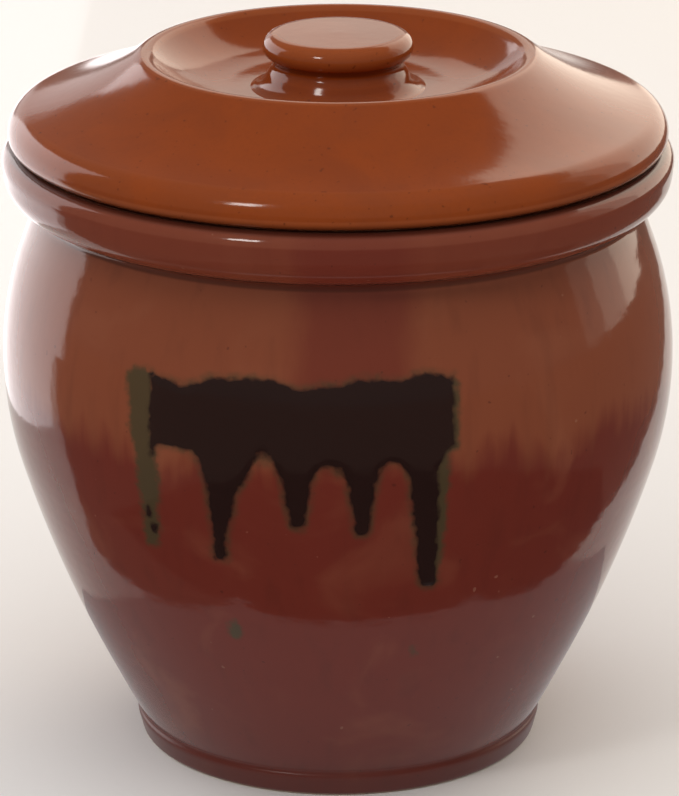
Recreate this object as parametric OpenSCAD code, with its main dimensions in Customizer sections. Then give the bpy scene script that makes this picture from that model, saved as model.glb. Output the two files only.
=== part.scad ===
// Stoneware fermenting crock with a loose lid, a sunken knob and two half-round pressing weights.
// Millimetres, +Z up. The origin is the centre of the foot, on the surface the crock stands on.

/* [Crock] */
// Outside radius at the belly
belly_r = 122.5; // [118:0.5:126]
// Height of the widest ring above the table
belly_z = 146; // [142:1:150]
// Radius of the shoulder arc above the belly
shoulder_arc = 126; // [120:1:140]
// Radius of the arc just below the belly
belly_arc = 130; // [120:1:140]
// Radius of the long arc of the flank, down to the foot
flank_arc = 480; // [460:5:520]
// Angle from the vertical at which the belly arc becomes the flank arc
flank_turn = 17; // [15:0.5:18.5]
// Thickness of the thrown wall
wall = 8; // [6:0.5:9]

/* [Foot] */
// Height of the foot band
foot_h = 10; // [8:0.5:12]
// Outside radius of the foot band
foot_r = 75; // [74.5:0.1:76.5]
// Width of the ring that the crock stands on
foot_ring = 12; // [8:0.5:16]
// Depth of the turned hollow inside the foot ring
foot_hollow = 3; // [2:0.5:4]
// Thickness of the floor above the hollow
floor_t = 9; // [8:0.5:11]

/* [Rim] */
// Outside radius of the rolled rim
rim_r = 121; // [120:0.5:124]
// Height of the rim above the table
rim_z = 225.5; // [224:0.5:228]
// Height at which the shoulder ends in the neck
neck_z = 201.5; // [199:0.5:202.5]
// Inside radius of the mouth
mouth_r = 100.5; // [99:0.5:102]

/* [Lid] */
// Outside radius of the lid
lid_r = 118.8; // [116:0.2:120]
// Clearance between the lid's seat and the rim
seat_gap = 0.3; // [0.2:0.1:0.5]
// Height of the lid's rounded edge
edge_h = 13; // [11:0.5:14]
// Rise of the raised ring above the lid's seat
ridge_h = 32.3; // [31:0.1:34]
// Radius of the raised ring
ridge_r = 69.4; // [68:0.2:72]
// Radius of the hollow slope between the raised ring and the edge
slope_arc = 110; // [95:5:160]
// Rise of the sunken centre above the lid's seat
bowl_h = 19.7; // [19:0.1:20.5]
// Radius of the flat middle of the sunken centre
bowl_r = 38; // [36:0.5:40]
// Thickness of the lid
lid_wall = 7; // [6:0.5:7.5]
// Depth of the locating collar below the seat
collar_drop = 7; // [5:0.5:9]
// Clearance between the locating collar and the mouth
collar_gap = 3.5; // [2.5:0.5:5]

/* [Knob] */
// Radius of the knob's disc
knob_r = 27.2; // [26.2:0.2:28.6]
// Radius of the knob's waist
waist_r = 23.5; // [22.5:0.5:24]
// Radius of the knob's flared base
knob_base_r = 32; // [30:0.5:34]
// Height of the knob above the sunken centre
knob_h = 19.5; // [18.5:0.5:22]

/* [Weights] */
// Radius of the two half-round weights put together
weight_r = 90; // [86:0.5:91]
// Thickness of a weight
weight_t = 22; // [18:1:26]
// Gap between the two straight edges
weight_split = 2; // [1:0.5:4]
// Radius of the finger hole
finger_r = 12; // [10:0.5:14]
// Distance from the straight edge's middle to the finger hole
finger_x = 36; // [32:1:42]
// Radius of the rounded edges
weight_round = 4; // [3:0.5:5]

/* [Hidden] */
$fn = 180;

// Steps in each arc of a turned outline.
arc_n = 14;
// Centres of the three wall arcs as [radius, height], and the angle at which the flank meets the foot.
shoulder_c = [belly_r - shoulder_arc, belly_z];
belly_c = [belly_r - belly_arc, belly_z];
flank_c = belly_c + (flank_arc - belly_arc) * [-cos(flank_turn), sin(flank_turn)];
foot_turn = asin((flank_c.y - foot_h) / flank_arc);
foot_round = 2;

// The inner floor, and the arc that joins it to the inner flank.
floor_z = foot_hollow + floor_t;
floor_round = 12;
inner_flank = flank_arc - wall;
floor_turn = asin((flank_c.y - floor_z - floor_round) / (inner_flank - floor_round));
floor_c = flank_c + (inner_flank - floor_round) * [cos(floor_turn), -sin(floor_turn)];

// The neck is a small hollow between the shoulder and the roll, and it touches both.
neck_turn = asin((neck_z - belly_z) / shoulder_arc);
neck_round = 3;
neck_c = shoulder_c + (shoulder_arc + neck_round) * [cos(neck_turn), sin(neck_turn)];
// The roll's rounded corners; the roll leans in a little from its top outer corner to its lower one.
roll_low = 11;
roll_top = 5.5;
roll_inner = 5;
roll_lean = 0.4;
roll_low_r = rim_r - roll_lean - roll_low;
roll_low_c = [roll_low_r, neck_c.y + sqrt((roll_low + neck_round) ^ 2 - (roll_low_r - neck_c.x) ^ 2)];
roll_turn = atan2(neck_c.y - roll_low_c.y, neck_c.x - roll_low_c.x);
mouth_turn = acos((mouth_r - shoulder_c.x) / (shoulder_arc - wall));

// The lid's edge and raised ring are arcs, and the hollow slope between them touches both.
seat_z = rim_z + seat_gap;
edge_low = 3.8;
edge_top = 8.5;
edge_c = [lid_r - edge_top, seat_z + edge_h - edge_top];
ridge_round = 5;
ridge_c = [ridge_r, seat_z + ridge_h - ridge_round];
slope_c = touching_centre(ridge_c, ridge_round, edge_c, edge_top, slope_arc);
slope_high = angle_to(ridge_c, slope_c);
slope_low = angle_to(edge_c, slope_c);
// The bowl's arc touches both the flat middle and the raised ring.
bowl_z = seat_z + bowl_h;
bowl_span = ridge_r - bowl_r;
bowl_rise = ridge_c.y - bowl_z;
bowl_arc = (bowl_span ^ 2 + bowl_rise ^ 2 - ridge_round ^ 2) / (2 * (ridge_round + bowl_rise));
bowl_c = [bowl_r, bowl_z + bowl_arc];
bowl_turn = asin(bowl_span / (bowl_arc + ridge_round));
// The collar under the lid, and the groove between it and the seat.
collar_r = mouth_r - collar_gap;
collar_t = 7;
collar_round = 2;
groove_h = 6;
groove_w = 9;

// A weight rests where its rounded lower edge comes to the tapering inner wall.
weight_gap = 0.4;
weight_corner = weight_r - weight_round;
weight_turn = acos((weight_corner - flank_c.x) / (inner_flank - weight_round - weight_gap));
weight_z = flank_c.y - (inner_flank - weight_round - weight_gap) * sin(weight_turn) - weight_round;
finger_round = 3;

// Points along an arc about c, from angle a0 to angle a1.
function arc(c, r, a0, a1, n = arc_n) =
    [for (i = [0:n]) let (a = a0 + (a1 - a0) * i / n) c + r * [cos(a), sin(a)]];

// The direction from point p to point q, in degrees.
function angle_to(p, q) = atan2(q.y - p.y, q.x - p.x);

// Centre of an arc of radius r that lies above and touches the outsides of two others.
function touching_centre(c1, r1, c2, r2, r) =
    let (
        line = c2 - c1,
        d = norm(line),
        along = ((r + r1) ^ 2 - (r + r2) ^ 2 + d ^ 2) / (2 * d),
        aside = sqrt((r + r1) ^ 2 - along ^ 2)
    )
    c1 + (along * line + aside * [-line.y, line.x]) / d;

function reversed(points) = [for (i = [len(points) - 1:-1:0]) points[i]];

// The wall's curve from angle low below the horizontal up to angle high above it, moved in by inset.
function wall_curve(inset, low, high) = concat(
    arc(flank_c, flank_arc - inset, -low, -flank_turn, 2 * arc_n),
    arc(belly_c, belly_arc - inset, -flank_turn, 0),
    arc(shoulder_c, shoulder_arc - inset, 0, high)
);

// The foot band, from the hollow under the floor to the ledge where the wall starts.
function foot_curve() = concat(
    [[foot_r - 2 * foot_round - foot_ring, foot_hollow], [foot_r - foot_round - foot_ring, 0]],
    arc([foot_r - foot_round - 1.4, foot_round], foot_round, -90, -12, 6),
    arc([foot_r - foot_round, foot_h - foot_round - 0.6], foot_round, -8, 80, 8)
);

// The neck, then the rolled rim round the outside and over the top to the mouth.
function roll_curve() = concat(
    arc(neck_c, neck_round, 180 + neck_turn, 180 + roll_turn, 8),
    arc(roll_low_c, roll_low, roll_turn, -2),
    arc([rim_r - roll_top, rim_z - roll_top], roll_top, -2, 90),
    arc([mouth_r + roll_inner, rim_z - roll_inner], roll_inner, 90, 180)
);

module crock() {
    color("saddlebrown") rotate_extrude() polygon(concat(
        [[0, foot_hollow]],
        foot_curve(),
        wall_curve(0, foot_turn, neck_turn),
        roll_curve(),
        reversed(wall_curve(wall, floor_turn, mouth_turn)),
        arc(floor_c, floor_round, -floor_turn, -90, 8),
        [[0, floor_z]]
    ));
}

// The angle, measured at c, at which an arc of radius r below c comes to the radius x.
function angle_at(c, r, x) = -acos((x - c.x) / r);

// The underside of the lid: parallel to the bowl and the slope, then the collar and the seat.
function lid_under() = let (
    collar_in = collar_r - collar_t,
    ring_z = seat_z - collar_drop + collar_round,
    under = slope_arc + lid_wall,
    crown = 4
) concat(
    [[0, bowl_z - lid_wall]],
    arc(bowl_c, bowl_arc + lid_wall, -90, angle_at(bowl_c, bowl_arc + lid_wall, ridge_r - crown), 10),
    arc(slope_c, under, angle_at(slope_c, under, ridge_r), angle_at(slope_c, under, collar_in), 8),
    arc([collar_in + collar_round, ring_z], collar_round, 180, 270, 5),
    arc([collar_r - collar_round, ring_z], collar_round, -90, 0, 5),
    [[collar_r, seat_z + groove_h], [collar_r + groove_w / 2, seat_z + groove_h], [collar_r + groove_w, seat_z]]
);

module lid() {
    color("sienna") rotate_extrude() polygon(concat(
        lid_under(),
        arc([lid_r - edge_low, seat_z + edge_low], edge_low, -90, -5, 8),
        arc(edge_c, edge_top, 0, slope_low, 12),
        reversed(arc(slope_c, slope_arc, slope_high - 180, slope_low - 180)),
        arc(ridge_c, ridge_round, slope_high, 90 + bowl_turn, 12),
        arc(bowl_c, bowl_arc, -90 + bowl_turn, -90, 16),
        [[0, bowl_z]]
    ));
}

// A flared base, a hollow waist and a round-edged disc with a slightly domed top.
module lid_knob() {
    flare_h = 6.5;
    lip = 5;
    under_lip = 4;
    under_turn = 60;
    dome = 0.3;
    disc_z = bowl_z + knob_h - lip;
    // The hollow under the disc touches both the waist and the lip.
    hollow = (knob_r - waist_r) / (1 - cos(under_turn)) - under_lip;
    hollow_z = disc_z - (hollow + under_lip) * sin(under_turn);
    color("peru") rotate_extrude() polygon(concat(
        [[0, bowl_z], [knob_base_r, bowl_z]],
        [for (a = [15:15:90])
            [waist_r + (knob_base_r - waist_r) * (1 - sin(a)), bowl_z + flare_h * (1 - cos(a))]],
        arc([waist_r + hollow, hollow_z], hollow, 180, 180 - under_turn, 6),
        arc([knob_r - under_lip, disc_z], under_lip, -under_turn, 0, 6),
        arc([knob_r - lip, disc_z], lip, 0, 88, 10),
        [[0, bowl_z + knob_h + dome]]
    ));
}

// A straight through hole with rounded mouths.
module finger_hole() {
    mouth = finger_r + finger_round;
    rotate_extrude() polygon(concat(
        [[0, -1], [mouth, -1]],
        arc([mouth, finger_round], finger_round, -90, -180, 6),
        arc([mouth, weight_t - finger_round], finger_round, 180, 90, 6),
        [[mouth, weight_t + 1], [0, weight_t + 1]]
    ));
}

// The upright section of a weight with rounded corners, from radius r0 to radius r1.
module weight_section(r0, r1) {
    e = weight_round;
    polygon(concat(
        arc([r0 + e, e], e, 180, 270, 6),
        arc([r1 - e, e], e, 270, 360, 6),
        arc([r1 - e, weight_t - e], e, 0, 90, 6),
        arc([r0 + e, weight_t - e], e, 90, 180, 6)
    ));
}

// One half-round weight on the +X side, lying level across the tapering wall.
module half_weight() {
    past = 2 * weight_r;
    translate([0, 0, weight_z]) difference() {
        intersection() {
            rotate_extrude() intersection() {
                weight_section(-weight_r, weight_r);
                square([past, weight_t]);
            }
            rotate([90, 0, 0]) linear_extrude(past + 10, center = true)
                weight_section(weight_split / 2, past);
        }
        translate([finger_x, 0, 0]) finger_hole();
    }
}

module weight_right() {
    color("tan") half_weight();
}

module weight_left() {
    color("burlywood") rotate([0, 0, 180]) half_weight();
}

crock();
lid();
lid_knob();
weight_left();
weight_right();
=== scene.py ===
"""Looks of a lidded stoneware fermenting crock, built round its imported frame.

Every piece is turned or extruded afresh in metres, in the frame's own place, so that the
glaze can have its thickness, its runs and the bare clay that it leaves.
"""

import logging
import math
from collections.abc import Mapping, Sequence
from dataclasses import dataclass
from enum import Enum

import bmesh
import bpy
from mathutils import Matrix, Vector, noise


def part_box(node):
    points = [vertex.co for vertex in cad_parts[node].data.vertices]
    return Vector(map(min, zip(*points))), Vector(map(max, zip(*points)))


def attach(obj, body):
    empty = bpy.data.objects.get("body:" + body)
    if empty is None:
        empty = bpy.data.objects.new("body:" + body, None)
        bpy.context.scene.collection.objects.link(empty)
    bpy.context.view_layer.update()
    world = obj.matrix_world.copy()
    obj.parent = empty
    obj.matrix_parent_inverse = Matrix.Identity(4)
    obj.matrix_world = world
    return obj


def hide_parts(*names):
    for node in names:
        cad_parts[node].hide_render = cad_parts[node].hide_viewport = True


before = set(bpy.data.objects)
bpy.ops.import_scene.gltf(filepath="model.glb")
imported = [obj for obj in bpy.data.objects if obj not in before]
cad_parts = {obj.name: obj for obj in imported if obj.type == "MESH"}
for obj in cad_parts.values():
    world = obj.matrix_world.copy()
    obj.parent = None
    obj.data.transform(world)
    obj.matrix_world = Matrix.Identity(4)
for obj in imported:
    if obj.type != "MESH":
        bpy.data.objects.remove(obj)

MILLIMETRE = 0.001
GLASSY = 1.45
FRONT = -90.0
FAR_AWAY = 1.0
SEAT_GAP = 0.0003

log = logging.getLogger("crock")

Triple = tuple[float, float, float]
Colour = Triple
Bead = Triple
Line = tuple[tuple[float, float], ...]


class Surface(Enum):
    """What covers a stretch of a turned outline."""

    GLAZED_OUTSIDE = "glazed_outside"
    GLAZED_INSIDE = "glazed_inside"
    BARE_CLAY = "bare_clay"


# ---- shader maths


@dataclass(frozen=True)
class Signal:
    """One output of a node; arithmetic on it adds Math nodes."""

    graph: "Graph"
    socket: bpy.types.NodeSocket

    def _math(self, operation: str, first: "Signal | float", second: "Signal | float") -> "Signal":
        """The result of a Math node of that operation on two terms."""
        terms = {"Value": first, "Value_001": second}
        return self.graph.node("ShaderNodeMath", {"operation": operation}, terms)

    def __add__(self, other: "Signal | float") -> "Signal":
        """self + other."""
        return self._math("ADD", self, other)

    def __sub__(self, other: "Signal | float") -> "Signal":
        """self - other."""
        return self._math("SUBTRACT", self, other)

    def __rsub__(self, other: float) -> "Signal":
        """other - self."""
        return self._math("SUBTRACT", other, self)

    def __mul__(self, other: "Signal | float") -> "Signal":
        """self * other."""
        return self._math("MULTIPLY", self, other)

    def __abs__(self) -> "Signal":
        """The value without its sign."""
        return self._math("ABSOLUTE", self, 0.0)

    def __or__(self, other: "Signal") -> "Signal":
        """Where either mask is, the stronger of the two."""
        return self._math("MAXIMUM", self, other)


class Graph:
    """The node tree of one finish."""

    def __init__(self, name: str) -> None:
        """Starts an empty tree in a new material of that name."""
        self.material = bpy.data.materials.new(name)
        self.material.use_nodes = True
        self.tree = self.material.node_tree
        self.tree.nodes.clear()

    def node(
        self,
        kind: str,
        settings: Mapping[str, object],
        inputs: Mapping[str, "Signal | float | Sequence[float]"],
        output: str = "",
    ) -> Signal:
        """Adds a node.

        Args:
            kind: The node's type.
            settings: What is set on the node itself, before its sockets.
            inputs: A value or a link for each socket, by the socket's identifier.
            output: The identifier of the output wanted, or nothing for the first.

        Returns:
            That output.
        """
        made = self.tree.nodes.new(kind)
        for name, value in settings.items():
            setattr(made, name, value)
        sockets = {socket.identifier: socket for socket in made.inputs}
        for name, value in inputs.items():
            if isinstance(value, Signal):
                self.tree.links.new(value.socket, sockets[name])
            else:
                sockets[name].default_value = value
        outputs = {socket.identifier: socket for socket in made.outputs}
        return Signal(self, outputs[output] if output else next(iter(outputs.values()), None))

    def place(self, stretch: Triple = (1.0, 1.0, 1.0)) -> Signal:
        """The object's own coordinates in millimetres; a stretch under 1 draws a pattern out along its axis."""
        here, factors = self.node("ShaderNodeTexCoord", {}, {}, "Object"), [part / MILLIMETRE for part in stretch]
        return self.node("ShaderNodeVectorMath", {"operation": "MULTIPLY"}, {"Vector": here, "Vector_001": factors})

    def axis(self, place: Signal, letter: str) -> Signal:
        """One coordinate of a place."""
        return self.node("ShaderNodeSeparateXYZ", {}, {"Vector": place}, letter)

    def mix(self, share: Signal, first: Signal | Colour, second: Signal | Colour) -> Signal:
        """Mixes two colours.

        Args:
            share: How much of the second there is, from 0 to 1.
            first: The colour at 0.
            second: The colour at 1.

        Returns:
            The mixed colour.
        """
        ends = [end if isinstance(end, Signal) else (*end, 1.0) for end in (first, second)]
        inputs = {"Factor_Float": share, "A_Color": ends[0], "B_Color": ends[1]}
        return self.node("ShaderNodeMix", {"data_type": "RGBA"}, inputs, "Result_Color")

    def attribute(self, name: str) -> Signal:
        """A number that the piece's own vertices carry."""
        return self.node("ShaderNodeAttribute", {"attribute_name": name}, {}, "Fac")

    def bump(self, height: Signal, depth: float) -> Signal:
        """The normal of a relief from 0 to 1, that many metres deep."""
        inputs = {"Height": height, "Distance": depth, "Strength": 1.0}
        return self.node("ShaderNodeBump", {}, inputs, "Normal")

    def surface(self, inputs: Mapping[str, "Signal | float | Sequence[float]"]) -> bpy.types.Material:
        """Ends the tree in a Principled shader.

        Args:
            inputs: A value or a link for each of its sockets that is used.

        Returns:
            The material.
        """
        shader = self.node("ShaderNodeBsdfPrincipled", {}, inputs)
        self.node("ShaderNodeOutputMaterial", {}, {"Surface": shader})
        return self.material

    def glow(self, colour: Colour, strength: float) -> bpy.types.Material:
        """Ends the tree in plain light.

        Args:
            colour: The light's colour.
            strength: Its strength.

        Returns:
            The material.
        """
        light = self.node("ShaderNodeEmission", {}, {"Color": (*colour, 1.0), "Strength": strength})
        self.node("ShaderNodeOutputMaterial", {}, {"Surface": light})
        return self.material


# ---- finishes


@dataclass(frozen=True)
class Fade:
    """A mask that is nothing at one value, its full share past another, and a smooth step between."""

    start: float
    end: float
    share: float = 1.0

    def over(self, value: Signal) -> Signal:
        """The mask of a value."""
        inputs = {"Value": value, "From Min": self.start, "From Max": self.end, "To Max": self.share}
        return value.graph.node("ShaderNodeMapRange", {"interpolation_type": "SMOOTHSTEP"}, inputs)


@dataclass(frozen=True)
class Mottle:
    """Patches, streaks or specks: their width in millimetres, how fine they break up, and their mask."""

    width: float
    detail: float
    fade: Fade = Fade(0.0, 1.0)
    twist: float = 0.0
    stretch: Triple = (1.0, 1.0, 1.0)

    def noise(self, graph: Graph) -> Signal:
        """The noise behind the patches, from 0 to 1."""
        grain = {"Scale": 1.0 / self.width, "Detail": self.detail, "Distortion": self.twist}
        return graph.node("ShaderNodeTexNoise", {}, {"Vector": graph.place(self.stretch), **grain})

    def swing(self, graph: Graph, reach: float) -> Signal:
        """The noise as a wander to both sides of nothing, of that reach from end to end."""
        return (self.noise(graph) - 0.5) * reach

    def mask(self, graph: Graph) -> Signal:
        """Where the patches are."""
        return self.fade.over(self.noise(graph))


@dataclass(frozen=True)
class Clay:
    """Bare fired stoneware: buff, toasted in patches, with iron specks."""

    pale: Colour = (0.48, 0.36, 0.25)
    toasted: Colour = (0.36, 0.22, 0.13)
    iron: Colour = (0.07, 0.035, 0.02)
    edge: Fade = Fade(0.4, 0.6)
    patches: Mottle = Mottle(26.0, 4.0, Fade(0.35, 0.7))
    grain: Mottle = Mottle(1.1, 2.0, Fade(0.35, 0.75, 0.22))
    specks: Mottle = Mottle(1.9, 1.0, Fade(0.69, 0.73, 0.85))
    tooth: Mottle = Mottle(0.9, 3.0)
    turning_marks: Mottle = Mottle(1.6, 2.0, stretch=(0.1, 0.1, 1.0))
    tooth_depth: float = 0.00012
    roughness: float = 0.7
    tooth_roughness: float = 0.15
    glazed_roughness: float = 0.75
    skin_depth: float = 0.00005

    def colour(self, graph: Graph) -> Signal:
        """Colours the clay.

        Args:
            graph: The tree that it is part of.

        Returns:
            Its colour over the surface.
        """
        body = graph.mix(self.patches.mask(graph), self.pale, self.toasted)
        body = graph.mix(self.grain.mask(graph), body, self.toasted)
        return graph.mix(self.specks.mask(graph), body, self.iron)

    def material(self, name: str) -> bpy.types.Material:
        """Makes the whole finish of a piece without glaze.

        Args:
            name: The material's name.

        Returns:
            The material.
        """
        graph = Graph(name)
        fine = self.tooth.noise(graph)
        relief = fine + self.turning_marks.noise(graph) * 0.5
        return graph.surface(
            {
                "Base Color": self.colour(graph),
                "Roughness": fine * self.tooth_roughness + self.roughness,
                "IOR": GLASSY,
                "Normal": graph.bump(relief, self.tooth_depth),
            }
        )

    def glazed(
        self, colour: Signal, bare: Signal, skin: Signal, gloss: Signal, matt: Signal | float = 0.0
    ) -> bpy.types.Material:
        """Makes the whole finish of a glazed piece, with this clay where the glaze stops short.

        Args:
            colour: The glaze's colour.
            bare: 1 where the clay is bare.
            skin: The glaze's faint relief.
            gloss: The glaze's roughness.
            matt: More roughness, of glaze and clay alike.

        Returns:
            The material.
        """
        graph = colour.graph
        relief = skin * (1.0 - bare) + self.tooth.noise(graph) * bare
        return graph.surface(
            {
                "Base Color": graph.mix(bare, colour, self.colour(graph)),
                "Roughness": gloss * (1.0 - bare) + bare * self.glazed_roughness + matt,
                "IOR": GLASSY,
                "Normal": graph.bump(relief, self.skin_depth),
            }
        )


@dataclass(frozen=True)
class CrockGlaze:
    """Iron-red glaze: brown where it is thin, maroon where it is thick, with black and olive runs; the lower body's
    maroon is partly a painted reflection of shade.
    """

    name: str = "crock_glaze"
    upper: Colour = (0.205, 0.055, 0.025)
    # deep: maroon of thick glaze, which also stands in for a painted reflection of shade on the lower body and up
    # the front.
    deep: Colour = (0.132, 0.021, 0.013)
    edge: Colour = (0.27, 0.095, 0.05)
    # pooled: glaze pooled in streaks, specks and hollows, and also the painted shade at the foot, in the crease
    # under the rim and on the rim's top under the lid.
    pooled_and_shade: Colour = (0.05, 0.012, 0.008)
    inside: Colour = (0.20, 0.055, 0.028)
    black: Colour = (0.016, 0.006, 0.005)
    olive: Colour = (0.050, 0.042, 0.020)
    fleck: Colour = (0.30, 0.16, 0.11)
    streaks: Mottle = Mottle(7.0, 4.0, Fade(0.5, 0.75, 0.15), stretch=(1.0, 1.0, 0.09))
    blotches: Mottle = Mottle(34.0, 3.0, Fade(0.52, 0.74, 0.22), 0.6)
    specks: Mottle = Mottle(2.3, 1.0, Fade(0.76, 0.80, 0.5))
    flecks: Mottle = Mottle(2.9, 0.0, Fade(0.87, 0.90, 0.35))
    # turn: below it the wall darkens to deep maroon, partly the glaze's tone and partly a painted reflection of
    # shade.
    turn: Fade = Fade(134.0, 150.0)
    streak_reach: float = 26.0
    blotch_reach: float = 22.0
    tongue_x: float = 5.0
    tongue_waver: float = 14.0
    tongue_width: Fade = Fade(27.0, 13.0, 0.7)
    tongue_height: Fade = Fade(148.0, 172.0)
    tongue_front: Fade = Fade(0.0, -60.0)
    roll: Fade = Fade(202.0, 206.0)
    roll_deep: float = 0.6
    foot_shade: Fade = Fade(14.0, 5.0, 0.32)
    foot_matt: Fade = Fade(13.0, 9.0, 0.22)
    worn: Fade = Fade(80.0, 240.0, 0.25)
    worn_waver: float = 90.0
    # hollows: concave bends darken, partly glaze pooled there and partly painted shade in the crease under the rim.
    hollows: Fade = Fade(-60.0, -330.0, 0.7)
    # seat: painted shadow, the rim's top darkening where the lid's edge overhangs it.
    seat: Fade = Fade(223.7, 225.1, 0.8)
    ragged: Mottle = Mottle(2.6, 4.0)
    ragged_reach: float = 2.4
    olive_ragged: float = 1.6
    bare_ragged: float = 0.15
    broken: Mottle = Mottle(4.6, 3.0, Fade(0.34, 0.62, 0.35))
    black_run: Fade = Fade(0.7, -1.1)
    olive_run: Fade = Fade(1.2, -1.6, 0.9)
    halo: Fade = Fade(2.6, 0.0)
    halo_least: float = 0.25
    skin: Mottle = Mottle(5.0, 2.0)
    sheen: Mottle = Mottle(40.0, 2.0)
    gloss: float = 0.07
    gloss_reach: float = 0.05
    clay: Clay = Clay()

    def tongue(self, graph: Graph, height: Signal) -> Signal:
        """Finds the tongue of deep maroon up the middle of the front, partly where more glaze has run down and
        partly painted shade.

        Args:
            graph: The tree that it is part of.
            height: The wavering height at which the glaze thickens.

        Returns:
            Its mask.
        """
        place = graph.place()
        across = graph.axis(place, "X") - self.tongue_x + self.streaks.swing(graph, self.tongue_waver)
        wide = self.tongue_width.over(abs(across)) * self.tongue_height.over(height)
        return wide * self.tongue_front.over(graph.axis(place, "Y"))

    def wall(self, graph: Graph) -> Signal:
        """Colours the red glaze, from its darker lower body (thicker glaze, and a painted reflection of shade) to
        its thin shoulder and edges, with painted shade in its creases and on the rim under the lid.

        Args:
            graph: The tree that it is part of.

        Returns:
            Its colour over the surface.
        """
        up = graph.axis(graph.place(), "Z")
        bend = graph.attribute("bend")
        height = up + self.streaks.swing(graph, self.streak_reach)
        height = height + self.blotches.swing(graph, self.blotch_reach)
        # Below the wavering turn height the wall is deep maroon: partly the glaze's own tone, partly a painted
        # reflection of shade.
        colour = graph.mix(self.turn.over(height), self.deep, self.upper)
        colour = graph.mix(self.streaks.mask(graph), colour, self.pooled_and_shade)
        colour = graph.mix(self.blotches.mask(graph), colour, self.edge)
        # The tongue up the middle of the front: partly glaze run down there, partly painted shade.
        colour = graph.mix(self.tongue(graph, height), colour, self.deep)
        colour = graph.mix(graph.attribute("inside"), colour, self.inside)
        roll = self.roll.over(up)
        colour = graph.mix(roll * self.roll_deep, colour, self.deep)
        colour = graph.mix(self.foot_shade.over(up), colour, self.pooled_and_shade)
        worn = self.worn.over(bend + self.blotches.swing(graph, self.worn_waver)) * roll
        colour = graph.mix(worn, colour, self.edge)
        # Painted shade on the rim's top under the lid's edge and in the concave creases; in the creases it is partly
        # real pooled glaze.
        colour = graph.mix(self.hollows.over(bend) | self.seat.over(up), colour, self.pooled_and_shade)
        colour = graph.mix(self.specks.mask(graph), colour, self.pooled_and_shade)
        return graph.mix(self.flecks.mask(graph), colour, self.fleck)

    def material(self) -> bpy.types.Material:
        """Makes the whole finish, with the poured runs and the bare clay of the foot.

        Returns:
            The material.
        """
        graph = Graph(self.name)
        ragged = self.ragged.swing(graph, self.ragged_reach)
        dark = graph.attribute("dark_run") + ragged
        green = graph.attribute("green_run") + ragged * self.olive_ragged
        halo = self.halo.over(dark) * (self.broken.mask(graph) + self.halo_least)
        colour = graph.mix(self.olive_run.over(green) | halo, self.wall(graph), self.olive)
        colour = graph.mix(self.black_run.over(dark), colour, self.black)
        bare = self.clay.edge.over(graph.attribute("bare") + ragged * self.bare_ragged)
        matt = self.foot_matt.over(graph.axis(graph.place(), "Z"))
        gloss = self.sheen.noise(graph) * self.gloss_reach + self.gloss
        return self.clay.glazed(colour, bare, self.skin.noise(graph), gloss, matt)


@dataclass(frozen=True)
class LidGlaze:
    """Orange-brown glaze of the lid and its knob, thin enough to break paler on every edge."""

    name: str = "lid_glaze"
    body: Colour = (0.232, 0.043, 0.0060)
    dark: Colour = (0.15, 0.030, 0.009)
    edge: Colour = (0.42, 0.14, 0.05)
    # pooled: glaze pooled in the lid's hollows and specks, and also the painted shadow along the lid's lower edge.
    pooled_and_shade: Colour = (0.07, 0.014, 0.005)
    under: Colour = (0.23, 0.055, 0.018)
    blotches: Mottle = Mottle(30.0, 3.0, Fade(0.38, 0.72, 0.35), 0.5)
    grain: Mottle = Mottle(1.6, 3.0, Fade(0.45, 0.8, 0.18))
    specks: Mottle = Mottle(2.1, 1.0, Fade(0.72, 0.77, 0.5))
    worn: Fade = Fade(40.0, 230.0, 0.15)
    worn_waver: float = 80.0
    hollows: Fade = Fade(-90.0, -330.0, 0.6)
    # hem: painted shadow, the lid's lower edge darkening towards the seat where it overhangs the rim.
    hem: Fade = Fade(229.2, 226.4, 0.85)
    ragged: Mottle = Mottle(1.5, 3.0)
    ragged_reach: float = 0.3
    skin: Mottle = Mottle(6.0, 2.0)
    sheen: Mottle = Mottle(35.0, 2.0)
    gloss: float = 0.09
    gloss_reach: float = 0.06
    clay: Clay = Clay()

    def material(self) -> bpy.types.Material:
        """Makes the whole finish, with the bare clay of the seat and a painted shadow along the lid's lower edge.

        Returns:
            The material.
        """
        graph = Graph(self.name)
        bend = graph.attribute("bend")
        colour = graph.mix(self.blotches.mask(graph), self.body, self.dark)
        colour = graph.mix(self.grain.mask(graph), colour, self.dark)
        colour = graph.mix(graph.attribute("inside"), colour, self.under)
        worn = self.worn.over(bend + self.blotches.swing(graph, self.worn_waver))
        colour = graph.mix(worn, colour, self.edge)
        # Glaze pooled in the lid's hollows, and a painted shadow along its lower edge.
        hem = self.hem.over(graph.axis(graph.place(), "Z"))
        colour = graph.mix(self.hollows.over(bend) | hem, colour, self.pooled_and_shade)
        colour = graph.mix(self.specks.mask(graph), colour, self.pooled_and_shade)
        ragged = self.ragged.swing(graph, self.ragged_reach)
        bare = self.clay.edge.over(graph.attribute("bare") + ragged)
        gloss = self.sheen.noise(graph) * self.gloss_reach + self.gloss
        return self.clay.glazed(colour, bare, self.skin.noise(graph), gloss)


# ---- outlines


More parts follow.
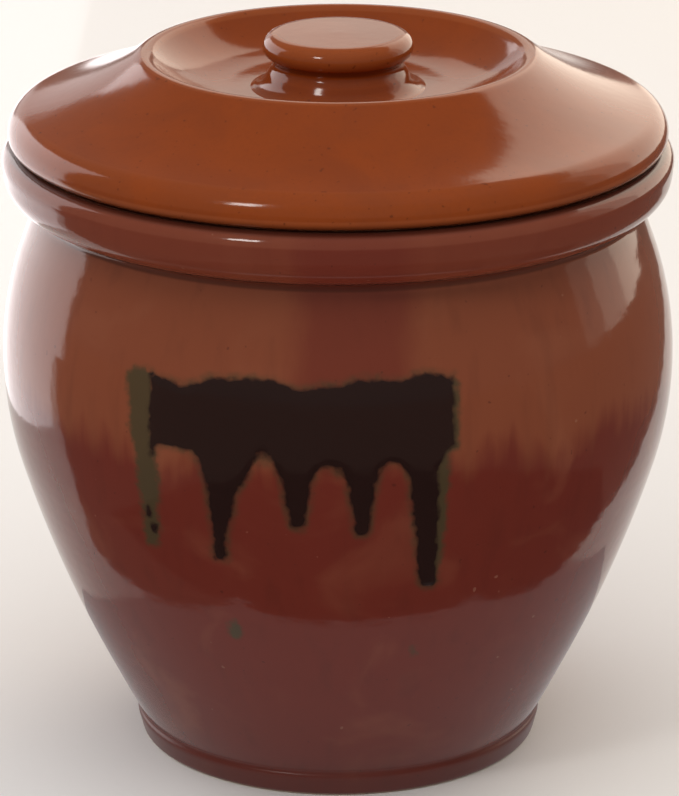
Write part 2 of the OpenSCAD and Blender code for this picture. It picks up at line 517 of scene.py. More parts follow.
class Outline:
    """A section drawn by a pen in the XZ plane, anticlockwise round the clay, ready to turn.

    Each point carries how sharply the surface bends there, the reciprocal of the radius and
    above nothing on an edge, and what covers it.
    """

    def __init__(self, start: Vector, cover: Surface, pitch: float) -> None:
        """Puts the pen down.

        Args:
            start: Where the section starts, as radius and height.
            cover: What covers its first stretch.
            pitch: The longest step between points.
        """
        self.mesh = bmesh.new()
        floats = self.mesh.verts.layers.float
        self.layers = {name: floats.new(name) for name in ("bend", "inside", "bare")}
        self.cover = cover
        self.pitch = pitch
        self.tip = self.mesh.verts.new((start.x, 0.0, start.y))
        self._mark([self.tip], 0.0)

    def _mark(self, points: Sequence[bmesh.types.BMVert], bend: float) -> None:
        """Writes on new points how the surface is there.

        Args:
            points: The points.
            bend: How sharply the surface bends at them.
        """
        for point in points:
            point[self.layers["bend"]] = bend
            point[self.layers["inside"]] = float(self.cover is Surface.GLAZED_INSIDE)
            point[self.layers["bare"]] = float(self.cover is Surface.BARE_CLAY)

    def line_to(self, end: Sequence[float]) -> None:
        """Draws straight to a point.

        Args:
            end: The point, as radius and height.
        """
        way = Vector((end[0], 0.0, end[1])) - self.tip.co
        steps = max(1, math.ceil(way.length / self.pitch))
        for _ in range(steps):
            drawn = bmesh.ops.extrude_vert_indiv(self.mesh, verts=[self.tip])
            self.tip = drawn["verts"][0]
            bmesh.ops.translate(self.mesh, verts=[self.tip], vec=way / steps)
            self._mark([self.tip], 0.0)

    def arc(self, centre: Sequence[float], radius: float, start: float, end: float) -> None:
        """Draws an arc, after a straight line to its start if the pen isn't there.

        Args:
            centre: The arc's centre, as radius and height.
            radius: Its radius.
            start: The angle at its start, in degrees from the +X direction.
            end: The angle at its end; past start for a swelling, before it for a hollow.
        """
        first = Vector(centre) + polar(radius, start)
        if (Vector((first.x, 0.0, first.y)) - self.tip.co).length > self.pitch / 50:
            self.line_to(first)
        turn = math.radians(end - start)
        steps = max(3, math.ceil(abs(turn) * radius / self.pitch))
        middle, axis = (centre[0], 0.0, centre[1]), (0.0, -1.0, 0.0)
        drawn = bmesh.ops.spin(self.mesh, geom=[self.tip], cent=middle, axis=axis, angle=turn, steps=steps)
        self.mesh.verts.ensure_lookup_table()
        self._mark(self.mesh.verts[-steps:], math.copysign(1.0 / radius, turn))
        self.tip = [part for part in drawn["geom_last"] if isinstance(part, bmesh.types.BMVert)][0]

    def turned(self, fine: tuple[float, float, int], coarse_steps: int) -> bmesh.types.BMesh:
        """Turns the section round the Z axis into a closed shell.

        Args:
            fine: Where the sector of fine steps starts and ends, in degrees, and its steps.
            coarse_steps: The steps round the rest.

        Returns:
            The shell, with its seams and poles closed and its faces outwards.
        """
        start, end, fine_steps = fine
        mesh = self.mesh
        first = Matrix.Rotation(math.radians(start), 3, "Z")
        bmesh.ops.rotate(mesh, verts=mesh.verts[:], cent=(0, 0, 0), matrix=first)
        geometry = mesh.verts[:] + mesh.edges[:]
        for angle, steps in ((end - start, fine_steps), (360.0 - end + start, coarse_steps)):
            turn = math.radians(angle)
            made = bmesh.ops.spin(mesh, geom=geometry, cent=(0, 0, 0), axis=(0, 0, 1), angle=turn, steps=steps)
            geometry = made["geom_last"]
        bmesh.ops.remove_doubles(mesh, verts=mesh.verts[:], dist=self.pitch / 100)
        bmesh.ops.recalc_face_normals(mesh, faces=mesh.faces[:])
        return mesh


def polar(radius: float, angle: float) -> Vector:
    """The point at that radius and angle, in degrees."""
    return Vector((radius * math.cos(math.radians(angle)), radius * math.sin(math.radians(angle))))


def direction(start: Vector, end: Vector) -> float:
    """The direction from one point to another, in degrees."""
    return math.degrees(math.atan2(end.y - start.y, end.x - start.x))


def touching_centre(arcs: Sequence[tuple[Vector, float]], radius: float) -> Vector:
    """Finds an arc that lies above two others and touches the outside of each.

    Args:
        arcs: The centre and the radius of each of the two.
        radius: The radius of the arc that touches both.

    Returns:
        Its centre.
    """
    (first, first_r), (second, second_r) = arcs
    line = second - first
    span = line.length
    along = ((radius + first_r) ** 2 - (radius + second_r) ** 2 + span**2) / (2 * span)
    aside = math.sqrt((radius + first_r) ** 2 - along**2)
    return first + (along * line + aside * Vector((-line.y, line.x))) / span


def finished(mesh: bmesh.types.BMesh, name: str, finish: bpy.types.Material) -> bpy.types.Object:
    """Makes an object of a mesh, shaded smooth and dressed in one finish.

    Args:
        mesh: The mesh, which is used up.
        name: The object's name.
        finish: Its material.

    Returns:
        The object, at the origin.
    """
    for face in mesh.faces:
        face.smooth = True
    data = bpy.data.meshes.new(name)
    mesh.to_mesh(data)
    mesh.free()
    data.materials.append(finish)
    piece = bpy.data.objects.new(name, data)
    bpy.context.scene.collection.objects.link(piece)
    triangles = sum(len(face.vertices) - 2 for face in data.polygons)
    log.info("%s: %d vertices, %d triangles", name, len(data.vertices), triangles)
    return piece


# ---- glaze runs


def soft_min(first: float, second: float, reach: float) -> float:
    """The lesser of two distances, rounded off where they are within reach of each other."""
    overlap = max(reach - abs(first - second), 0.0) / reach
    return min(first, second) - overlap**3 * reach / 6.0


@dataclass(frozen=True)
class Run:
    """A run of glaze down the wall.

    Its beads are places across and up with a radius, from its root to its tip, and blend is how far
    round its root it swells into what it runs from.
    """

    beads: tuple[Bead, ...]
    blend: float = 0.009

    def distance(self, across: float, up: float) -> float:
        """Measures how far a point is from the run.

        Args:
            across: The point's X.
            up: Its Z.

        Returns:
            Its distance outside the run, or below nothing inside it.
        """
        here = Vector((across, up))
        nearest = FAR_AWAY
        for (x0, z0, r0), (x1, z1, r1) in zip(self.beads, self.beads[1:]):
            root, way = Vector((x0, z0)), Vector((x1 - x0, z1 - z0))
            share = min(max((here - root).dot(way) / way.length_squared, 0.0), 1.0)
            ease = share * share * (3.0 - 2.0 * share)
            nearest = min(nearest, (here - root - way * share).length - r0 - (r1 - r0) * ease)
        return nearest


@dataclass(frozen=True)
class Splash:
    """The dark glaze trailed across the front: a band with a wavy top, and runs down from it."""

    crest: Line = (
        (-0.0648, 0.1715), (-0.0618, 0.1702), (-0.0540, 0.1688), (-0.0420, 0.1726), (-0.0250, 0.1738),
        (-0.0125, 0.1712), (-0.0025, 0.1719), (0.0075, 0.1742), (0.0210, 0.1738), (0.0280, 0.1752),
        (0.0398, 0.1738),
    )
    hem: Line = (
        (-0.0640, 0.1462), (-0.0520, 0.1460), (-0.0270, 0.1488), (-0.0030, 0.1448), (0.0190, 0.1454),
        (0.0398, 0.1500),
    )
    runs: tuple[Run, ...] = (
        Run(((-0.0640, 0.160, 0.0014), (-0.0642, 0.146, 0.0014), (-0.0648, 0.141, 0.0009)), 0.002),
        Run(((-0.0664, 0.1215, 0.0012), (-0.0662, 0.1180, 0.0015)), 0.001),
        Run(((-0.0643, 0.1135, 0.0011), (-0.0641, 0.1118, 0.0009)), 0.001),
        Run((
            (-0.0385, 0.148, 0.0105), (-0.0405, 0.128, 0.0046),
            (-0.0409, 0.116, 0.0028), (-0.0412, 0.1062, 0.0025),
        )),
        Run(((-0.0140, 0.147, 0.0088), (-0.0143, 0.133, 0.0043), (-0.0139, 0.1228, 0.0030))),
        Run(((0.0077, 0.147, 0.0072), (0.0079, 0.132, 0.0042), (0.0080, 0.1200, 0.0028))),
        Run((
            (0.0282, 0.151, 0.0100), (0.0298, 0.137, 0.0052),
            (0.0304, 0.118, 0.0041), (0.0310, 0.0978, 0.0033),
        ), 0.005),
    )
    olive: tuple[Run, ...] = (
        Run((
            (-0.0686, 0.167, 0.0050), (-0.0678, 0.150, 0.0044),
            (-0.0662, 0.134, 0.0040), (-0.0650, 0.107, 0.0025),
        )),
        Run((
            (0.0356, 0.149, 0.0034), (0.0344, 0.132, 0.0036),
            (0.0336, 0.112, 0.0034), (0.0318, 0.0975, 0.0030),
        )),
        Run(((0.0398, 0.171, 0.0020), (0.0396, 0.150, 0.0020))),
        Run(((-0.0365, 0.0770, 0.0023), (-0.0365, 0.0730, 0.0025))),
        Run(((0.0267, 0.0678, 0.0010), (0.0267, 0.0656, 0.0012))),
    )
    low: float = 0.060
    high: float = 0.185
    half_width: float = 0.085
    waver: float = 0.0009
    waves: float = 110.0
    fine_waves: float = 330.0
    thickness: float = 0.0003
    edge_width: float = 0.0022

    def near(self, point: Vector) -> bool:
        """Whether a point is on the stretch of the front that the splash may cover."""
        return point.y < 0.0 and abs(point.x) < self.half_width and self.low < point.z < self.high

    def height_at(self, edge: Line, across: float) -> float:
        """Finds the height of the band's wavy top or bottom edge.

        Args:
            edge: The turning points of the edge, from left to right.
            across: Where along it, as X.

        Returns:
            The edge's Z there.
        """
        for (x0, z0), (x1, z1) in zip(edge, edge[1:]):
            if across <= x1:
                share = min(max((across - x0) / (x1 - x0), 0.0), 1.0)
                return z0 + (z1 - z0) * (1.0 - math.cos(math.pi * share)) / 2.0
        return edge[-1][1]

    def wavering(self, across: float, up: float) -> float:
        """The small wander of every edge of the glaze at a point of the front."""
        layers = ((self.waves, 1.0, 1.0), (self.fine_waves, 2.0, 0.5))
        return self.waver * sum(noise.noise(Vector((across * k, up * k, row))) * part for k, row, part in layers)

    def dark_distance(self, across: float, up: float) -> float:
        """Measures how far a point of the front is from the black glaze.

        Args:
            across: The point's X.
            up: Its Z.

        Returns:
            Its distance outside the glaze, or below nothing inside it.
        """
        left, right = self.crest[0][0], self.crest[-1][0]
        above = up - self.height_at(self.crest, across)
        below = self.height_at(self.hem, across) - up
        distance = max(above, below, left - across, across - right)
        for run in self.runs:
            distance = soft_min(distance, run.distance(across, up), run.blend)
        return distance + self.wavering(across, up)

    def olive_distance(self, across: float, up: float) -> float:
        """How far a point of the front is outside the olive glaze, or below nothing inside it."""
        return min(run.distance(across, up) for run in self.olive) + self.wavering(across, up)

    def relief(self, distance: float) -> float:
        """How far the black glaze stands above the red at that distance from its edge."""
        depth = min(max(-distance / self.edge_width, 0.0), 1.0)
        return self.thickness * (depth * depth * (3.0 - 2.0 * depth))


# ---- the pieces


@dataclass
class Crock:
    """The thrown pot, from its turned foot to its rolled rim."""

    belly_r: float
    rim_z: float
    finish: CrockGlaze
    splash: Splash
    belly_z: float = 0.146
    shoulder_arc: float = 0.126
    belly_arc: float = 0.130
    flank_arc: float = 0.480
    flank_turn: float = 17.0
    wall: float = 0.008
    foot_h: float = 0.010
    foot_r: float = 0.075
    foot_ring: float = 0.012
    foot_round: float = 0.002
    foot_set_in: float = 0.0014
    foot_line: float = 0.0006
    foot_shoulder: float = 55.0
    clay_until: float = -50.0
    foot_hollow: float = 0.003
    floor_t: float = 0.009
    floor_round: float = 0.012
    rim_r: float = 0.121
    neck_z: float = 0.2015
    neck_round: float = 0.003
    mouth_r: float = 0.1005
    roll_low: float = 0.011
    roll_top: float = 0.0055
    roll_inner: float = 0.005
    roll_lean: float = 0.0004
    pitch: float = 0.0014
    inner_pitch: float = 0.004
    ring_height: float = 0.0052
    ring_depth: float = 0.000008
    ring_wander: float = 0.002
    inner_ring_depth: float = 0.00022
    wobble: float = 0.00009
    foot_fade: float = 0.02
    neck_fade: float = 0.01
    fine_left: float = 40.0
    fine_right: float = 34.0
    fine_steps: int = 150
    coarse_steps: int = 140

    def outline(self) -> Outline:
        """Draws the wall's section from the middle of the foot round to the middle of the floor.

        Returns:
            The section.
        """
        low = self.foot_round
        pen = Outline(Vector((0.0, self.foot_hollow)), Surface.BARE_CLAY, self.inner_pitch)
        pen.line_to((self.foot_r - 2 * low - self.foot_ring, self.foot_hollow))
        pen.line_to((self.foot_r - low - self.foot_ring, 0.0))
        pen.pitch = self.pitch
        heel = Vector((self.foot_r - low - self.foot_set_in, low))
        pen.arc(heel, low, -90.0, self.clay_until)
        pen.cover = Surface.GLAZED_OUTSIDE
        pen.arc(heel, low, self.clay_until, -12.0)
        toe = Vector((self.foot_r - low, self.foot_h - low - self.foot_line))
        pen.arc(toe, low, -8.0, self.foot_shoulder)

        shoulder = Vector((self.belly_r - self.shoulder_arc, self.belly_z))
        belly = Vector((self.belly_r - self.belly_arc, self.belly_z))
        flank = belly - polar(self.flank_arc - self.belly_arc, -self.flank_turn)
        foot_turn = math.degrees(math.asin((flank.y - self.foot_h) / self.flank_arc))
        neck_turn = math.degrees(math.asin((self.neck_z - self.belly_z) / self.shoulder_arc))
        pen.arc(flank, self.flank_arc, -foot_turn, -self.flank_turn)
        pen.arc(belly, self.belly_arc, -self.flank_turn, 0.0)
        pen.arc(shoulder, self.shoulder_arc, 0.0, neck_turn)

        neck = shoulder + polar(self.shoulder_arc + self.neck_round, neck_turn)
        low_r = self.rim_r - self.roll_lean - self.roll_low
        rise = math.sqrt((self.roll_low + self.neck_round) ** 2 - (low_r - neck.x) ** 2)
        roll = Vector((low_r, neck.y + rise))
        roll_turn = direction(roll, neck)
        pen.arc(neck, self.neck_round, 180.0 + neck_turn, 180.0 + roll_turn)
        pen.arc(roll, self.roll_low, roll_turn, -2.0)
        outer, inner = self.roll_top, self.roll_inner
        pen.arc((self.rim_r - outer, self.rim_z - outer), outer, -2.0, 90.0)
        pen.arc((self.mouth_r + inner, self.rim_z - inner), inner, 90.0, 180.0)

        pen.cover = Surface.GLAZED_INSIDE
        pen.pitch = self.inner_pitch
        inner_flank = self.flank_arc - self.wall
        floor_z = self.foot_hollow + self.floor_t
        mouth_turn = math.degrees(math.acos((self.mouth_r - shoulder.x) / (self.shoulder_arc - self.wall)))
        drop = flank.y - floor_z - self.floor_round
        floor_turn = math.degrees(math.asin(drop / (inner_flank - self.floor_round)))
        corner = flank + polar(inner_flank - self.floor_round, -floor_turn)
        pen.arc(shoulder, self.shoulder_arc - self.wall, mouth_turn, 0.0)
        pen.arc(belly, self.belly_arc - self.wall, 0.0, -self.flank_turn)
        pen.arc(flank, inner_flank, -self.flank_turn, -floor_turn)
        pen.arc(corner, self.floor_round, -floor_turn, -90.0)
        pen.line_to((0.0, floor_z))
        return pen

    def relief(self, point: Vector, inside: float, bare: float, dark: float) -> float:
        """Works out how far the surface stands off the plain turned shape.

        Args:
            point: The place.
            inside: 1 on the inner wall.
            bare: 1 on bare clay.
            dark: The distance from the black glaze.

        Returns:
            The height of the relief, along the normal.
        """
        above_foot = min(max((point.z - self.foot_h) / self.foot_fade, 0.0), 1.0)
        below_neck = min(max((self.neck_z - point.z) / self.neck_fade, 0.0), 1.0)
        wall = above_foot * below_neck
        wandering = point.z + self.ring_wander * noise.noise(point * 18.0)
        ring = math.cos(2.0 * math.pi * wandering / self.ring_height)
        if inside:
            return wall * self.inner_ring_depth * (ring - 1.0)
        slow = noise.noise(point * 14.0) - 1.0
        outer = self.ring_depth * (ring - 1.0) + self.wobble * slow - self.splash.thickness
        return (1.0 - bare) * wall * (outer + self.splash.relief(dark))

    def build(self) -> bpy.types.Object:
        """Turns the pot, with finer steps round its decorated front, and dresses it.

        Returns:
            The pot, with the thickness of its glaze.
        """
        fine = (FRONT - self.fine_left, FRONT + self.fine_right, self.fine_steps)
        mesh = self.outline().turned(fine, self.coarse_steps)
        floats = mesh.verts.layers.float
        inside, bare = floats["inside"], floats["bare"]
        dark, green = floats.new("dark_run"), floats.new("green_run")
        mesh.normal_update()
        moves = []
        for vert in mesh.verts:
            on_front = self.splash.near(vert.co) and not vert[inside]
            across, up = vert.co.x, vert.co.z
            dark_distance = self.splash.dark_distance(across, up) if on_front else FAR_AWAY
            green_distance = self.splash.olive_distance(across, up) if on_front else FAR_AWAY
            vert[dark] = dark_distance / MILLIMETRE
            vert[green] = green_distance / MILLIMETRE
            moves.append(vert.normal * self.relief(vert.co, vert[inside], vert[bare], dark_distance))
        for vert, move in zip(mesh.verts, moves):
            vert.co += move
        piece = finished(mesh, "crock_pot", self.finish.material())
        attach(piece, "crock")
        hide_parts("crock")
        return piece


@dataclass
class Lid:
    """The lid with its raised ring and sunken middle, and the knob luted into it."""

    lid_r: float
    seat_z: float
    finish: LidGlaze
    edge_h: float = 0.013
    edge_low: float = 0.0038
    clay_until: float = -84.0
    edge_top: float = 0.0085
    ridge_h: float = 0.0323
    ridge_r: float = 0.0694
    ridge_round: float = 0.005
    slope_arc: float = 0.110
    bowl_h: float = 0.0197
    bowl_r: float = 0.038
    thickness: float = 0.007
    crown: float = 0.004
    mouth_r: float = 0.1005
    collar_gap: float = 0.0035
    collar_drop: float = 0.007
    collar_t: float = 0.007
    collar_round: float = 0.002
    groove_h: float = 0.006
    groove_w: float = 0.009
    knob_r: float = 0.0272
    waist_r: float = 0.0235
    knob_base_r: float = 0.032
    knob_h: float = 0.0195
    flare_h: float = 0.0065
    lip: float = 0.005
    under_lip: float = 0.004
    under_turn: float = 60.0
    knob_sunk: float = 0.0004
    dome: float = 0.0003
    pitch: float = 0.0014
    under_pitch: float = 0.003
    steps: int = 240
    wobble: float = 0.00015
    waves: float = 16.0

    def outline(self) -> Outline:
        """Draws the lid's section, from the middle of its underside round to the middle of its top.

        Returns:
            The section.
        """
        edge = Vector((self.lid_r - self.edge_top, self.seat_z + self.edge_h - self.edge_top))
        ridge = Vector((self.ridge_r, self.seat_z + self.ridge_h - self.ridge_round))
        slope = touching_centre(((ridge, self.ridge_round), (edge, self.edge_top)), self.slope_arc)
        slope_high, slope_low = direction(ridge, slope), direction(edge, slope)
        bowl_z = self.seat_z + self.bowl_h
        span, rise = self.ridge_r - self.bowl_r, ridge.y - bowl_z
        bowl_arc = (span**2 + rise**2 - self.ridge_round**2) / (2 * (self.ridge_round + rise))
        bowl = Vector((self.bowl_r, bowl_z + bowl_arc))
        bowl_turn = math.degrees(math.asin(span / (bowl_arc + self.ridge_round)))

        def reaches(centre: Vector, radius: float, x: float) -> float:
            """The angle at which the lower side of an arc comes to the radius x."""
            return -math.degrees(math.acos((x - centre.x) / radius))

        under = self.slope_arc + self.thickness
        under_bowl = bowl_arc + self.thickness
        collar_r = self.mouth_r - self.collar_gap
        collar_in = collar_r - self.collar_t
        ring_z = self.seat_z - self.collar_drop + self.collar_round
        pen = Outline(Vector((0.0, bowl_z - self.thickness)), Surface.GLAZED_INSIDE, self.under_pitch)
        pen.arc(bowl, under_bowl, -90.0, reaches(bowl, under_bowl, self.ridge_r - self.crown))
        pen.arc(slope, under, reaches(slope, under, self.ridge_r), reaches(slope, under, collar_in))
        pen.arc((collar_in + self.collar_round, ring_z), self.collar_round, 180.0, 270.0)
        pen.cover = Surface.BARE_CLAY
        pen.arc((collar_r - self.collar_round, ring_z), self.collar_round, -90.0, 0.0)
        pen.line_to((collar_r, self.seat_z + self.groove_h))
        pen.line_to((collar_r + self.groove_w / 2, self.seat_z + self.groove_h))
        pen.line_to((collar_r + self.groove_w, self.seat_z))
        pen.pitch = self.pitch
        hem = Vector((self.lid_r - self.edge_low, self.seat_z + self.edge_low))
        pen.arc(hem, self.edge_low, -90.0, self.clay_until)
        pen.cover = Surface.GLAZED_OUTSIDE
        pen.arc(hem, self.edge_low, self.clay_until, -5.0)
        pen.arc(edge, self.edge_top, 0.0, slope_low)
        pen.arc(slope, self.slope_arc, slope_low - 180.0, slope_high - 180.0)
        pen.arc(ridge, self.ridge_round, slope_high, 90.0 + bowl_turn)
        pen.arc(bowl, bowl_arc, -90.0 + bowl_turn, -90.0)
        pen.line_to((0.0, bowl_z))
        return pen

    def knob_outline(self) -> Outline:
        """Draws the knob's section: a flared base, a waist, a hollow under the disc and its round lip.

        Returns:
            The section.
        """
        base_z = self.seat_z + self.bowl_h
        disc_z = base_z + self.knob_h - self.lip
        flare_c = Vector((self.knob_base_r, base_z + self.flare_h))
        under_turn = math.radians(self.under_turn)
        hollow = (self.knob_r - self.waist_r) / (1.0 - math.cos(under_turn)) - self.under_lip
        hollow_z = disc_z - (hollow + self.under_lip) * math.sin(under_turn)
        sunk_z = base_z - self.knob_sunk
        pen = Outline(Vector((0.0, sunk_z)), Surface.BARE_CLAY, self.pitch)
        pen.line_to((self.knob_base_r - 0.001, sunk_z))
        pen.cover = Surface.GLAZED_OUTSIDE
        pen.line_to((self.knob_base_r, sunk_z))
        pen.arc(flare_c, self.flare_h, 265.0, 195.0)
        pen.arc((self.waist_r + hollow, hollow_z), hollow, 180.0, 180.0 - self.under_turn)
        pen.arc((self.knob_r - self.under_lip, disc_z), self.under_lip, -self.under_turn, 0.0)
        pen.arc((self.knob_r - self.lip, disc_z), self.lip, 0.0, 88.0)
        pen.line_to((0.0, base_z + self.knob_h + self.dome))
        return pen

    def build(self) -> list[bpy.types.Object]:
        """Turns and dresses the lid and its knob.

        Returns:
            The two pieces.
        """
        finish = self.finish.material()
        pieces = []
        for name, node, outline in (
            ("lid_cover", "lid", self.outline()),
            ("lid_knob_turned", "lid_knob", self.knob_outline()),
        ):
            mesh = outline.turned((-180.0, 0.0, self.steps // 2), self.steps // 2)
            mesh.normal_update()
            bare = mesh.verts.layers.float["bare"]
            moves = []
            for vert in mesh.verts:
                sunk = 0.0 if vert[bare] else self.wobble * (noise.noise(vert.co * self.waves) - 1.0) / 2.0
                moves.append(vert.normal * sunk)
            for vert, move in zip(mesh.verts, moves):
                vert.co += move
            piece = finished(mesh, name, finish)
            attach(piece, "lid")
            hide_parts(node)
            pieces.append(piece)
        return pieces


class Side(Enum):
    """Which half of the pair a weight is."""

    LEFT = 180.0
    RIGHT = 0.0


@dataclass
class Weight:
    """One half-round pressing weight with rounded edges and a finger hole."""

    side: Side
    low_z: float
    high_z: float
    finish: bpy.types.Material
    radius: float = 0.090
    half_split: float = 0.001
    edge_round: float = 0.004
    hole_r: float = 0.012
    hole_x: float = 0.036
    hole_round: float = 0.003
    hole_reach: float = 0.018
    rim_steps: int = 96
    hole_steps: int = 48
    round_steps: int = 5
    edge_angle: float = 40.0

    def _loops(self, mesh: bmesh.types.BMesh) -> None:
        """Draws the half-round outline and the finger hole, flat on the weight's underside.

        Args:
            mesh: The mesh to draw in.
        """
        lean = math.asin(self.half_split / self.radius)
        start = mesh.verts.new((self.half_split, -self.radius * math.cos(lean), self.low_z))
        middle, turn, steps = (0, 0, self.low_z), math.pi - 2 * lean, self.rim_steps
        arc = bmesh.ops.spin(mesh, geom=[start], cent=middle, axis=(0, 0, 1), angle=turn, steps=steps)
        end = [part for part in arc["geom_last"] if isinstance(part, bmesh.types.BMVert)][0]
        mesh.edges.new((end, start))
        place = Matrix.Translation((self.hole_x, 0.0, self.low_z))
        bmesh.ops.create_circle(mesh, segments=self.hole_steps, radius=self.hole_r, matrix=place)

    def build(self) -> bpy.types.Object:
        """Extrudes the half round, rounds its edges and dresses it.

        Returns:
            The weight.
        """
        mesh = bmesh.new()
        self._loops(mesh)
        bmesh.ops.triangle_fill(mesh, use_beauty=True, use_dissolve=False, edges=mesh.edges[:])
        grown = bmesh.ops.extrude_face_region(mesh, geom=mesh.faces[:])
        top = [part for part in grown["geom"] if isinstance(part, bmesh.types.BMVert)]
        bmesh.ops.translate(mesh, verts=top, vec=(0.0, 0.0, self.high_z - self.low_z))
        bmesh.ops.recalc_face_normals(mesh, faces=mesh.faces[:])
        sharp = [edge for edge in mesh.edges if edge.calc_face_angle(0.0) > math.radians(self.edge_angle)]
        centre = Vector((self.hole_x, 0.0))

        def of_hole(edge: bmesh.types.BMEdge) -> bool:
            """Whether an edge is round the finger hole."""
            return all((vert.co.xy - centre).length < self.hole_reach for vert in edge.verts)

        rounding = {"segments": self.round_steps, "profile": 0.5, "affect": "EDGES", "material": -1}
        for edges, offset in (
            ([edge for edge in sharp if not of_hole(edge)], self.edge_round),
            ([edge for edge in sharp if of_hole(edge)], self.hole_round),
        ):
            bmesh.ops.bevel(mesh, geom=edges, offset=offset, clamp_overlap=True, **rounding)
        turn = Matrix.Rotation(math.radians(self.side.value), 3, "Z")
        bmesh.ops.rotate(mesh, verts=mesh.verts[:], cent=(0, 0, 0), matrix=turn)
        bmesh.ops.recalc_face_normals(mesh, faces=mesh.faces[:])
        body = f"weight_{self.side.name.lower()}"
        piece = finished(mesh, f"{body}_stone", self.finish)
        piece.modifiers.new("flats_kept_flat", "WEIGHTED_NORMAL")
        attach(piece, body)
        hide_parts(body)
        return piece


# ---- the studio


@dataclass(frozen=True)
class Card:
    """A glowing card of the studio, which the camera doesn't see and which casts no shadow."""

    name: str
    colour: Colour
    strength: float

    def hang(self, mesh: bmesh.types.BMesh, lights: bool, reflects: bool) -> None:
        """Makes an object of the card's mesh.

        Args:
            mesh: The mesh.
            lights: Whether the card lights matt surfaces.
            reflects: Whether glossy surfaces reflect it.
        """
        card = finished(mesh, self.name, Graph(self.name).glow(self.colour, self.strength))
        card.visible_camera = card.visible_shadow = False
        card.visible_diffuse, card.visible_glossy = lights, reflects


@dataclass(frozen=True)
class Panel(Card):
    """A flat soft light that the glaze may reflect."""

    centre: Triple
    faces: Triple
    size: tuple[float, float]
    reflects: bool = True

    def build(self) -> None:
        """Hangs the panel upright, square to the way that it faces."""
        turn = Vector(self.faces).to_track_quat("Z", "Y").to_matrix().to_4x4()
        place = Matrix.Translation(self.centre) @ turn @ Matrix.Diagonal((*self.size, 1.0, 1.0))
        mesh = bmesh.new()
        bmesh.ops.create_grid(mesh, x_segments=1, y_segments=1, size=0.5, matrix=place)
        self.hang(mesh, True, self.reflects)


@dataclass(frozen=True)
class Mat(Card):
    """A flat card on the floor that only the glaze's reflections see, to shade or light them."""

    height: float
    corners: Line

    def build(self) -> None:
        """Lays the card between its corners."""
        mesh = bmesh.new()
        verts = [mesh.verts.new((x, y, self.height)) for x, y in self.corners]
        edges = [mesh.edges.new(pair) for pair in zip(verts, verts[1:] + verts[:1])]
        bmesh.ops.triangle_fill(mesh, use_beauty=True, use_dissolve=False, edges=edges)
        self.hang(mesh, False, True)


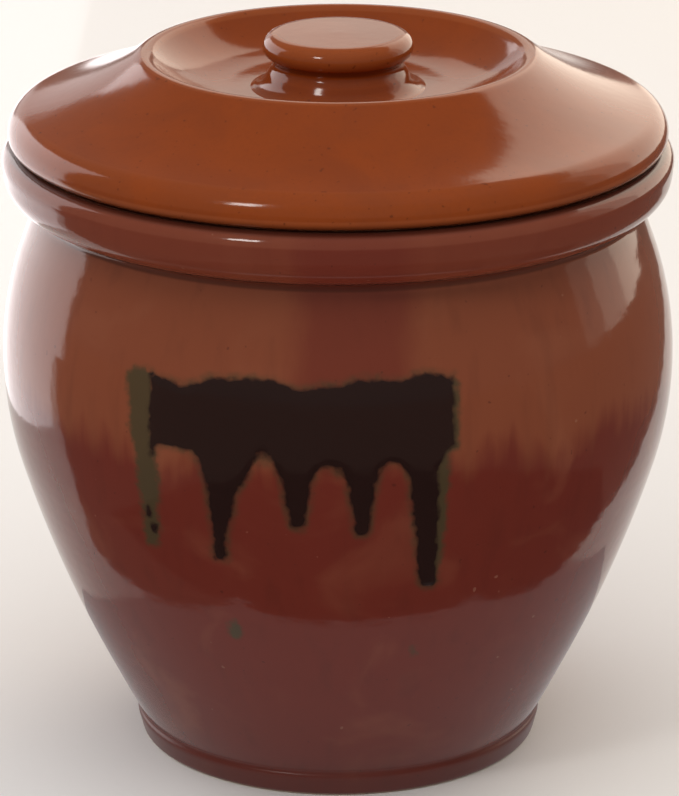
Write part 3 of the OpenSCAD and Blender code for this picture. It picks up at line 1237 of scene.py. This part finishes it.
@dataclass
class Studio:
    """The pale floor, the soft lights and the camera."""

    floor_half: float = 5.0
    floor_colour: Colour = (0.84, 0.84, 0.84)
    floor_grey: Colour = (0.6, 0.6, 0.6)
    floor_tooth: Mottle = Mottle(3.0, 3.0)
    floor_mottling: float = 0.05
    camera_at: Triple = (0.0005, -1.6096, 0.6799)
    camera_pitch: float = 71.035
    lens: float = 209.6
    fill: Colour = (0.52, 0.46, 0.42)
    fill_strength: float = 0.40
    panels: tuple[Panel, ...] = (
        Panel("left_window", (1.0, 0.95, 0.95), 2.2, (-1.2, 1.75, 0.62), (1.0, 0.0, 0.0), (2.98, 1.24)),
        Panel("right_wall", (1.0, 0.86, 0.71), 2.2, (1.14, 1.47, 1.16), (-0.6, -0.8, 0.0), (1.8, 2.12)),
        Panel("right_wall_middle", (1.0, 0.87, 0.74), 1.3, (2.14, 0.72, 1.16), (-0.6, -0.8, 0.0), (0.7, 2.12)),
        Panel("right_wall_front", (1.0, 0.87, 0.76), 0.6, (2.70, 0.30, 1.16), (-0.6, -0.8, 0.0), (0.7, 2.12)),
        Panel("overhead", (1.0, 0.98, 0.95), 1.95, (0.0, -0.45, 2.0), (0.0, 0.15, -1.0), (2.6, 2.0), reflects=False),
        Panel("front_fill", (1.0, 0.94, 0.90), 0.9, (0.0, -2.6, 1.0), (0.0, 1.0, -0.3), (3.0, 1.6), reflects=False),
        Panel("back_sky", (1.0, 0.90, 0.78), 1.2, (0.0, 2.6, 1.30), (0.0, -1.0, -0.4), (1.1, 1.3)),
        Panel("left_sky", (1.0, 0.94, 0.92), 1.0, (-0.92, 3.0, 0.70), (0.2, -1.0, 0.0), (0.62, 0.90)),
        Panel("small_window", (1.0, 0.97, 0.92), 16.0, (-0.80, -1.14, 1.35), (0.80, 1.14, -1.15), (0.26, 0.34)),
    )
    mats: tuple[Mat, ...] = (
        Mat("near_floor", (1.0, 0.95, 0.93), 0.45, 0.0005, (
            (-0.145, 0.06), (-0.15, -0.02), (-0.14, -0.08), (-0.08, -0.145), (0.0, -0.152),
            (0.05, -0.145), (0.108, -0.122), (0.175, -0.04), (0.18, 0.06), (0.10, 0.10), (0.0, 0.12),
            (-0.10, 0.10),
        )),
        Mat("room_floor", (1.0, 0.72, 0.60), 0.20, 0.001, (
            (-0.30, 0.01), (-0.19, -0.005), (-0.14, -0.07), (-0.08, -0.14), (0.00, -0.15), (0.05, -0.143),
            (0.105, -0.12), (0.21, 0.02), (0.30, 0.16), (0.42, 0.50), (0.80, 3.4), (5.0, 3.4),
            (5.0, -5.0), (-5.0, -5.0), (-5.0, 1.7),
        )),
        Mat("table_shade", (1.0, 0.78, 0.74), 0.07, 0.002, (
            (-0.22, -0.058), (-0.08, -0.138), (0.00, -0.149), (0.05, -0.142), (0.105, -0.119),
            (0.21, 0.021), (0.31, 0.0), (0.32, -0.12), (0.295, -0.26), (0.18, -0.41), (0.0, -0.465),
            (-0.17, -0.41), (-0.24, -0.22),
        )),
        Mat("window_floor", (1.0, 0.94, 0.94), 2.2, 0.002, (
            (-0.40, 0.08), (-2.6, 0.85), (-2.6, 3.2), (-0.15, 3.2), (-0.15, 0.45),
        )),
    )

    def build(self) -> None:
        """Lays the floor, hangs the lights and sets up the camera."""
        self.build_camera()
        self.build_floor()
        for card in self.panels + self.mats:
            card.build()
        world = bpy.data.worlds.new("studio")
        world.use_nodes = True
        background = world.node_tree.nodes["Background"]
        background.inputs["Color"].default_value = (*self.fill, 1.0)
        background.inputs["Strength"].default_value = self.fill_strength
        bpy.context.scene.world = world
        bpy.context.scene.view_settings.view_transform = "Standard"

    def build_camera(self) -> None:
        """Sets the camera in front of the crock and a little above it, looking down at it."""
        data = bpy.data.cameras.new("camera")
        data.lens = self.lens
        data.sensor_width = 36.0
        data.clip_end = 50.0
        camera = bpy.data.objects.new("camera", data)
        camera.location = self.camera_at
        camera.rotation_euler = (math.radians(self.camera_pitch), 0.0, 0.0)
        bpy.context.scene.collection.objects.link(camera)
        bpy.context.scene.camera = camera

    def build_floor(self) -> None:
        """Lays the pale floor that the crock stands on."""
        mesh = bmesh.new()
        bmesh.ops.create_grid(mesh, x_segments=1, y_segments=1, size=self.floor_half)
        graph = Graph("floor_paper")
        tooth = self.floor_tooth.noise(graph) * self.floor_mottling
        colour = graph.mix(tooth, self.floor_colour, self.floor_grey)
        paper = graph.surface({"Base Color": colour, "Roughness": 0.9, "IOR": 1.3})
        finished(mesh, "floor", paper)


def main() -> None:
    """Builds the studio and every piece of the crock."""
    logging.basicConfig(level=logging.INFO, format="%(name)s: %(message)s")
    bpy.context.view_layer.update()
    Studio().build()
    crock_high, lid_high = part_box("crock")[1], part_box("lid")[1]
    Crock(belly_r=crock_high.x, rim_z=crock_high.z, finish=CrockGlaze(), splash=Splash()).build()
    Lid(lid_r=lid_high.x, seat_z=crock_high.z + SEAT_GAP, finish=LidGlaze()).build()
    clay = Clay().material("weight_clay")
    for side in Side:
        low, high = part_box(f"weight_{side.name.lower()}")
        Weight(side=side, low_z=low.z, high_z=high.z, finish=clay).build()


if __name__ == "__main__":
    main()
